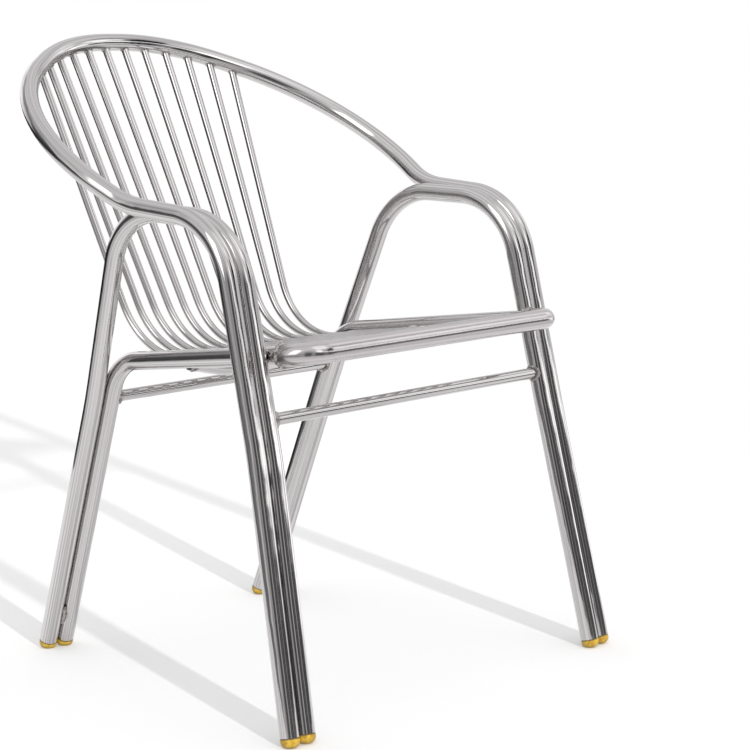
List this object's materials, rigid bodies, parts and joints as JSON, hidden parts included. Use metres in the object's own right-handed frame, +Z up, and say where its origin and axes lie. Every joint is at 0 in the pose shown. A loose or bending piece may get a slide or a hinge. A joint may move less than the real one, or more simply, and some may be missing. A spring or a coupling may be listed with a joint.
{
  "type": "stacking patio chair",
  "caption": "Stacking armchair of bright steel tube with slender rods for back and seat, paired legs and amber foot plugs.",
  "frame": {"origin": "on the floor, under the centre of the chair's bounding box", "axes": "+Z up, the sitter faces -Y, +X to the sitter's left"},
  "size_m": [0.5716, 0.6097, 0.762],
  "materials": {
    "steel": "polished",
    "weld": "as welded",
    "plug": "moulded"
  },
  "bodies": {
    "root": {"back_arm_rail": "steel", "arm_arch_left": "steel", "arm_arch_right": "steel", "seat_side_left": "steel", "seat_side_right": "steel", "seat_front_bar": "steel", "seat_support": "steel", "front_stretcher": "steel", "rear_stretcher": "steel", "back_rod_01": "steel", "back_rod_02": "steel", "back_rod_03": "steel", "back_rod_04": "steel", "back_rod_05": "steel", "back_rod_06": "steel", "back_rod_07": "steel", "back_rod_08": "steel", "back_rod_09": "steel", "back_rod_10": "steel", "back_rod_11": "steel", "back_rod_12": "steel", "plug_front_outer_left": "plug", "plug_front_outer_right": "plug", "plug_front_inner_left": "plug", "plug_front_inner_right": "plug", "plug_rear_outer_left": "plug", "plug_rear_outer_right": "plug", "plug_rear_inner_left": "plug", "plug_rear_inner_right": "plug", "pair_welds_left": "weld", "pair_welds_right": "weld", "seat_side_welds_left": "weld", "seat_side_welds_right": "weld", "rail_rod_welds": "weld", "bar_rod_welds": "weld", "support_welds": "weld", "stretcher_welds": "weld"}
  },
  "joints": []
}
